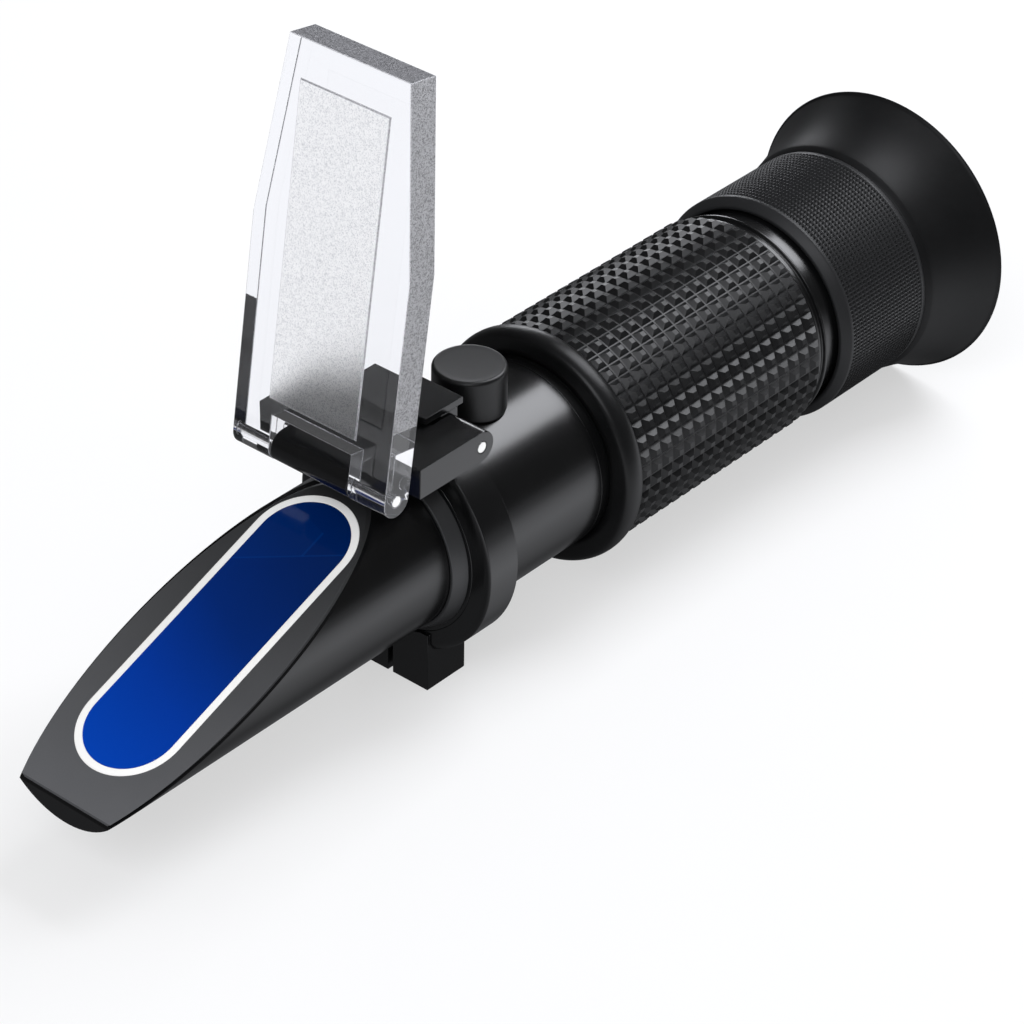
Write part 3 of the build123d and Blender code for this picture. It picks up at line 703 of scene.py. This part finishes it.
def make_grip():
    """Grip: a round bead in front, rows of square pyramids behind it and a plain bore.

    The bead's radius over its half turn a is the valley's plus its height times cos(a) to the
    power BEAD_FULLNESS. The pyramids are a height over the (turn, station) grid, whose lines lie
    on the breaks of each pyramid, and each quad is split along the pyramid's ridges, so that its
    facets are flat.
    """
    breaks = np.array([-1.0, -PYRAMID_FLOOR, -PYRAMID_TOP, PYRAMID_TOP, PYRAMID_FLOOR])
    across = np.tile(breaks, PYRAMIDS_ROUND)
    cell = np.repeat(np.arange(PYRAMIDS_ROUND), len(breaks))
    turn = 2 * np.pi * (cell + 0.5 + 0.5 * across) / PYRAMIDS_ROUND
    columns = len(turn)
    valley_r = PYRAMID_TIP_R - PYRAMID_DEPTH

    bead_half = (BEAD_BACK - GRIP_FRONT) / 2
    sweep = np.linspace(-np.pi / 2, np.pi / 2, BEAD_STEPS)[1:-1]
    bead = np.stack([GRIP_FRONT + bead_half + bead_half * np.sin(sweep),
                     valley_r + (BEAD_R - valley_r) * np.cos(sweep) ** BEAD_FULLNESS], axis=1)
    front = np.array([(GRIP_FRONT, TUBE_R), (GRIP_FRONT, TUBE_R + GRIP_FACE_RINGS[0]),
                      (GRIP_FRONT, valley_r - BEAD_STEP_DOWN)])
    plain = np.concatenate([front, bead])
    pitch = (GRIP_BACK - BEAD_BACK) / PYRAMID_ROWS
    along = np.tile(breaks, PYRAMID_ROWS)
    cell_row = np.repeat(np.arange(PYRAMID_ROWS), len(breaks))
    station = BEAD_BACK + pitch * (cell_row + 0.5 + 0.5 * along)
    height = pyramid_height(across[None, :], along[:, None])
    back = np.array([(GRIP_BACK, valley_r), (GRIP_BACK, TUBE_R + GRIP_FACE_RINGS[1]),
                     (GRIP_BACK, TUBE_R)])

    stations = np.concatenate([plain[:, 0], station, back[:, 0]])
    radii = np.concatenate([np.repeat(plain[:, 1:], columns, axis=1),
                            valley_r + PYRAMID_DEPTH * height,
                            np.repeat(back[:, 1:], columns, axis=1)])
    rows = len(stations)
    line, column = np.divmod(np.arange(rows * columns), columns)
    row_of_cell, column_of_cell = (line - len(plain)) % len(breaks), column % len(breaks)
    rising = (row_of_cell < PYRAMID_TOP_LINE) == (column_of_cell < PYRAMID_TOP_LINE)
    a, b, c, d = ring_quads(rows, columns)[:, ::-1].T
    first = np.where(rising[:, None], np.stack([a, b, d], 1), np.stack([a, b, c], 1))
    second = np.where(rising[:, None], np.stack([b, c, d], 1), np.stack([a, c, d], 1))
    piece = mesh_object("grip_sleeve_look", carried_round(stations[:, None], radii, turn),
                        np.concatenate([first, second]), np.tile(line < len(plain) - 1, 2))
    piece.data.materials.append(looks["grip_rubber"])
    piece.data.materials.append(looks["grip_pyramids"])
    pyramids = (line >= len(plain)) & (line < len(plain) + len(station) - 1)
    piece.data.polygons.foreach_set("material_index", np.tile(pyramids, 2).astype(np.int32))
    return piece


settle(make_grip(), "barrel", "grip_sleeve")


# Focus ring
def make_focus_ring():
    """Focus ring: a turned outline whose outside carries a fine grid of square pits.

    Over a cell with coordinates from 0 to 1 the depth is KNURL_DEPTH times the smaller of two
    ramps, one for each way. Each ramp is 0 on the cell's edge and 1 between the two inner breaks.
    """
    breaks = np.array(KNURL_BREAKS)[None, :]
    turn_share = (np.arange(KNURL_ROUND)[:, None] + breaks).reshape(-1)
    turn = (2 * np.pi * turn_share / KNURL_ROUND)[None, :]
    columns = turn.shape[1]
    land_r = FOCUS_R - FOCUS_LAND_DEPTH
    chamfer = [(FOCUS_FRONT + behind, FOCUS_R - under) for behind, under in FOCUS_CHAMFER]
    before = np.array([(FOCUS_FRONT, FOCUS_SKIRT_R), *chamfer,
                       (KNURL_FRONT - KNURL_MARGIN, land_r)])
    row_share = np.append((np.arange(KNURL_ROWS)[:, None] + breaks).reshape(-1), KNURL_ROWS)
    station = KNURL_FRONT + (KNURL_BACK - KNURL_FRONT) * row_share / KNURL_ROWS
    pit_round = np.tile(KNURL_AT_BREAKS, KNURL_ROUND)[None, :]
    pit_along = np.append(np.tile(KNURL_AT_BREAKS, KNURL_ROWS), 0.0)[:, None]
    knurl_r = FOCUS_R - KNURL_CREST_DEPTH - KNURL_DEPTH * np.minimum(pit_round, pit_along)
    edge_length, edge_depth = FOCUS_BACK_EDGE
    after = np.array([(KNURL_BACK + KNURL_MARGIN, land_r), (FOCUS_BACK - edge_length, land_r),
                      (FOCUS_BACK, FOCUS_R - edge_depth), (FOCUS_BACK, FOCUS_SPIGOT_R),
                      (FOCUS_SPIGOT_BACK, FOCUS_SPIGOT_R), (FOCUS_SPIGOT_BACK, EYE_TUBE_R),
                      (FOCUS_SKIRT_BACK, EYE_TUBE_R), (FOCUS_SKIRT_BACK, FOCUS_SKIRT_R)])
    stations = np.concatenate([before[:, 0], station, after[:, 0]])[:, None]
    radii = np.concatenate([np.repeat(before[:, 1:], columns, 1), knurl_r,
                            np.repeat(after[:, 1:], columns, 1)])
    line = np.arange(len(stations) * columns) // columns
    knurled = (line >= len(before)) & (line < len(before) + len(station) - 1)
    return mesh_object("focus_ring_look", carried_round(stations, radii, turn),
                       ring_quads(len(stations), columns)[:, ::-1], ~knurled)


settle(make_focus_ring(), "eyepiece", "focus_ring", looks["knurled_black"])


# Eyecup
def make_eyecup():
    """Eyecup: a short lip, then a cone that sags inwards by CUP_SAG in the shape of a half sine.

    The rim is half an ellipse, and the inside is a cone back to the throat with its own sag.
    """
    share = np.linspace(0, 1, CUP_STEPS)
    half_sine = np.sin(np.pi * share)
    rim_front = TOTAL_LENGTH - CUP_RIM_DEPTH
    outer = np.stack([CUP_LIP_BACK + (TOTAL_LENGTH - CUP_LIP_BACK) * share,
                      CUP_LIP_R + (CUP_RIM_R - CUP_LIP_R) * share - CUP_SAG * half_sine], axis=1)
    outer[-1, 0] = rim_front
    rim_turn = np.linspace(0, np.pi, CUP_RIM_STEPS)[1:-1]
    rim_half = CUP_WALL / 2
    rim = np.stack([rim_front + CUP_RIM_DEPTH * np.sin(rim_turn),
                    CUP_RIM_R - rim_half + rim_half * np.cos(rim_turn)], axis=1)
    throat_r = FOCUS_SPIGOT_R + rim_half
    mouth_r = CUP_RIM_R - CUP_WALL
    inner = np.stack([rim_front - (rim_front - FOCUS_SPIGOT_BACK) * share,
                      mouth_r - (mouth_r - throat_r) * share - CUP_INNER_SAG * half_sine], axis=1)
    edge = [(FOCUS_BACK + behind, FOCUS_R - under) for behind, under in CUP_FRONT_EDGE]
    lip = np.array([(FOCUS_BACK, FOCUS_SPIGOT_R), *edge,
                    (CUP_LIP_BACK - CUP_LIP_LEAD[0], CUP_LIP_R - CUP_LIP_LEAD[1])])
    close = np.array([(FOCUS_SPIGOT_BACK, throat_r - CUP_SEAT),
                      (FOCUS_SPIGOT_BACK, FOCUS_SPIGOT_R)])
    return turned_mesh("eyecup_look", np.concatenate([lip, outer, rim, inner, close]))


settle(make_eyecup(), "eyepiece", "eyecup", looks["cup_rubber"])


# Calibration cap
def make_cap():
    """Round cap: a slightly dished top, a quarter-round edge, and a foot that follows the tube.

    Points are (radius, height) rows carried round the cap's own axis; the rows of the foot take
    their height from the saddle on the tube, sqrt(R^2 - y^2), and a rise over it.
    """
    turn = np.linspace(0, 2 * np.pi, CAP_STEPS, endpoint=False)[None, :]
    edge = np.linspace(0, np.pi / 2, CAP_EDGE_STEPS)
    top_r = np.array(CAP_TOP_RADII)
    top_z = CAP_TOP - CAP_DISH * (1 - (top_r / CAP_R) ** 2)
    round_r = CAP_R - CAP_EDGE + CAP_EDGE * np.sin(edge)
    round_z = CAP_TOP - CAP_EDGE + CAP_EDGE * np.cos(edge)
    wall_z = CAP_TOP - CAP_EDGE - CAP_WALL_DROP
    foot_r = (CAP_R, CAP_R, CAP_R - CAP_FOOT_EDGE, CAP_BORE_R)
    radius = np.concatenate([top_r, round_r, [CAP_R], foot_r, [CAP_BORE_R, CAP_BORE_MIDDLE_R]])
    rings = radius[:, None] + 0 * turn
    foot = len(top_r) + len(round_r) + 1
    foot_rows = slice(foot, foot + len(foot_r))
    height = np.concatenate([top_z, round_z, [wall_z], np.zeros(len(foot_r)),
                             [CAP_BORE_TOP, CAP_BORE_TOP]])[:, None] + 0 * turn
    saddle = np.sqrt(CAP_SADDLE_R ** 2 - (rings[foot_rows] * np.sin(turn)) ** 2)
    height[foot_rows] = saddle + np.array(CAP_FOOT_RISES)[:, None]
    points = row(CAP_STATION + rings * np.cos(turn), rings * np.sin(turn), height)
    return capped_object("calibration_cap_look", points)


settle(make_cap(), "cap", "calibration_cap", looks["cap_rubber"])

# Worked copies of the other outside pieces: node, body, slot and bevel
worked = [
    ("nose_housing", "barrel", "satin_black", 0.12),
    ("prism_bezel", "barrel", "bezel_grey", 0.10),
    ("prism_gasket", "barrel", "white_seal", 0.10),
    ("measuring_prism", "barrel", "blue_glass", 0.05),
    ("hinge_bracket", "barrel", "satin_black", 0.26),
    ("hinge_stop_plate", "barrel", "satin_black", 0.12),
    ("clamp_screw", "barrel", "screw_steel", 0.12),
    ("rear_hinge_pin", "barrel", "pin_steel", 0.08),
    ("hinge_link", "link", "satin_black", 0.16),
    ("front_hinge_pin", "link", "pin_steel", 0.08),
    ("calibration_boss", "barrel", "turned_brass", 0.12),
    ("calibration_screw", "calibration_screw", "turned_brass", 0.10),
]
for node, body, slot, bevel in worked:
    settle(worked_copy(node, bevel), body, node, looks[slot])


# Daylight cover
def make_cover():
    """Cover: the worked copy, its faces given clear or frosted acrylic by which way they point.

    A face is frosted where it points out of the pad and stands proud of the plate, where it is
    the near side's edge, and on the top end; the edge and the top take darker frosted tones, which
    are painted shade. The bevels take the cut edge's finish.
    """
    piece = worked_copy("daylight_cover", COVER_BEVEL, COVER_BEVEL_STEPS)
    for name in COVER_LOOKS:
        piece.data.materials.append(looks[name])
    piece.modifiers["bevel"].material = COVER_LOOKS.index("cut_edge")
    polygons = piece.data.polygons
    normals, centres = np.empty(len(polygons) * 3), np.empty(len(polygons) * 3)
    polygons.foreach_get("normal", normals)
    polygons.foreach_get("center", centres)
    normals, centres = normals.reshape(-1, 3), centres.reshape(-1, 3)
    up = np.array([math.sin(COVER_LEAN), 0, math.cos(COVER_LEAN)])
    out = np.array([-math.cos(COVER_LEAN), 0, math.sin(COVER_LEAN)])
    proud, risen = (centres - COVER_PIN) @ out / MM, (centres - COVER_PIN) @ up / MM
    on_side = np.abs(centres[:, 1]) > COVER_SIDE_Y * MM
    kinds = np.zeros(len(polygons), dtype=np.int32)
    on_pad = (normals @ out > FACING) & (proud > COVER_HALF + PAD_HEIGHT / 2)
    kinds[on_pad] = COVER_LOOKS.index("frosted_face")
    kinds[(normals[:, 1] < -FACING) & on_side] = COVER_LOOKS.index("frosted_edge")
    kinds[(normals @ up > FACING) & (risen > COVER_TOP_RISE)] = COVER_LOOKS.index("frosted_top")
    polygons.foreach_set("material_index", kinds)
    return piece


settle(make_cover(), "cover", "daylight_cover")

# Inner pieces keep their CAD meshes and take their slot's finish
slots = {entry["node"]: entry["material_slot"] for entry in frame["record"]["subparts"]}
for node, piece in frame["nodes"].items():
    if node in replaced:
        continue
    if not piece.material_slots:
        piece.data.materials.append(looks[slots[node]])
    for place in piece.material_slots:
        place.material = looks[slots[node]]

# Floor
floor_corners = FLOOR_HALF * np.array([(-1, -1, 0), (1, -1, 0), (1, 1, 0), (-1, 1, 0)])
floor = mesh_object("floor", floor_corners, np.array([(0, 1, 2, 3)]), False)


def ray_kinds(shade):
    """Signals of 0 or 1: camera rays or rays through clear pieces, and rays mirrored by gloss."""
    camera, glossy, clear = (shade.node("LightPath", out=kind)
                             for kind in (IS_CAMERA, IS_GLOSSY, IS_TRANSMISSION))
    direct = shade.node("Math", {"operation": "MAXIMUM"}, {0: camera, 1: clear})
    return direct, glossy * (1 - clear)


def floor_material():
    """Pale floor that reads as white and keeps the object's shadow."""
    shade = Shade("pale_floor")
    tone = shade.tint(shade.noise(FLOOR_CLOUD_SIZE),
                      (FLOOR_TONE,) * 3, (FLOOR_TONE + FLOOR_CLOUD,) * 3)
    diffuse = shade.node("BsdfDiffuse", None, {"Color": tone})
    direct, mirrored = ray_kinds(shade)
    reach = shade.node("VectorMath", {"operation": "LENGTH"}, {0: shade.place()}, out=LENGTH_OUT)
    beyond = shade.ramp(reach, (FLOOR_LIT_TO, 0.0), (FLOOR_DARK_FROM, 1.0))
    strength = direct * (beyond * FLOOR_FAR_GLOW + FLOOR_GLOW)
    glow = shade.node("Emission", None, {"Color": (1, 1, 1, 1), "Strength": strength})
    both = shade.node("AddShader", None, {0: diffuse, 1: glow})
    near = shade.ramp(shade.part_of_place(1) * (-1 / (NEAR_GLOSS_TO * MM)), *NEAR_STOPS)
    in_gloss = shade.node("Emission", None, {"Color": (*COOL, 1), "Strength": near * NEAR_GLOSS})
    mixed = shade.node("MixShader", None, {0: mirrored, 1: both, 2: in_gloss})
    shade.node("OutputMaterial", None, {"Surface": mixed})
    return shade.material


floor.data.materials.append(floor_material())

# World: white to the camera, a plain fill for the object, and nearly dark in its gloss
world = bpy.data.worlds.new("studio")
bpy.context.scene.world = world
world.use_nodes = True
sky = Shade("studio", world.node_tree)
from_camera, from_gloss = (sky.node("LightPath", out=kind) for kind in (IS_CAMERA, IS_GLOSSY))
strength = WORLD_FILL + from_camera * (1.0 - WORLD_FILL) + from_gloss * (GLOSS_SKY - WORLD_FILL)
background = sky.node("Background", None, {"Color": (1, 1, 1, 1), "Strength": strength})
sky.node("OutputWorld", None, {"Surface": background})


def matrix_from(axes, place):
    """Blender matrix from three axes and a place."""
    rows = [[*(axis[i] for axis in axes), place[i]] for i in range(3)] + [[0, 0, 0, 1]]
    return Matrix(rows)


def softbox(name, direction, distance, size, watts):
    """Rectangular lamp in a direction from the middle of the object, facing it."""
    data = bpy.data.lights.new(name, "AREA")
    data.shape = "RECTANGLE"
    data.size, data.size_y = size
    data.energy = watts
    data.color = COOL
    lamp = bpy.data.objects.new(name, data)
    bpy.context.scene.collection.objects.link(lamp)
    away = np.array(direction) / np.linalg.norm(direction)
    side = np.cross((0, 0, 1), away)
    side = side / np.linalg.norm(side)
    lamp.matrix_world = matrix_from((side, np.cross(away, side), away),
                                    row(*LAMP_TARGET) + away * distance)
    lamp.visible_camera = False
    lamp.visible_transmission = False


for lamp in LAMPS:
    softbox(*lamp)


def make_camera():
    """Pinhole camera: its axes come from its turn, rise and roll, its place from VIEW_PLACE."""
    back = np.array([math.sin(VIEW_TURN) * math.cos(VIEW_RISE),
                     -math.cos(VIEW_TURN) * math.cos(VIEW_RISE), math.sin(VIEW_RISE)])
    right = np.cross(-back, (0, 0, 1))
    right = right / np.linalg.norm(right)
    above = np.cross(right, -back)
    c, s = math.cos(VIEW_ROLL), math.sin(VIEW_ROLL)
    right, above = c * right + s * above, c * above - s * right
    place = VIEW_PLACE[1] * above + VIEW_PLACE[2] * back - VIEW_PLACE[0] * right
    data = bpy.data.cameras.new("camera")
    data.sensor_fit = "HORIZONTAL"
    data.sensor_width = SENSOR
    data.lens = VIEW_FOCUS_PX / IMAGE_PX * SENSOR
    data.shift_x = (IMAGE_PX / 2 - VIEW_CENTRE_PX[0]) / IMAGE_PX
    data.shift_y = (VIEW_CENTRE_PX[1] - IMAGE_PX / 2) / IMAGE_PX
    data.clip_start, data.clip_end = VIEW_CLIP
    camera = bpy.data.objects.new("camera", data)
    bpy.context.scene.collection.objects.link(camera)
    camera.matrix_world = matrix_from((right, above, back), row(*place))
    bpy.context.scene.camera = camera


make_camera()
bpy.context.scene.view_settings.view_transform = "Standard"
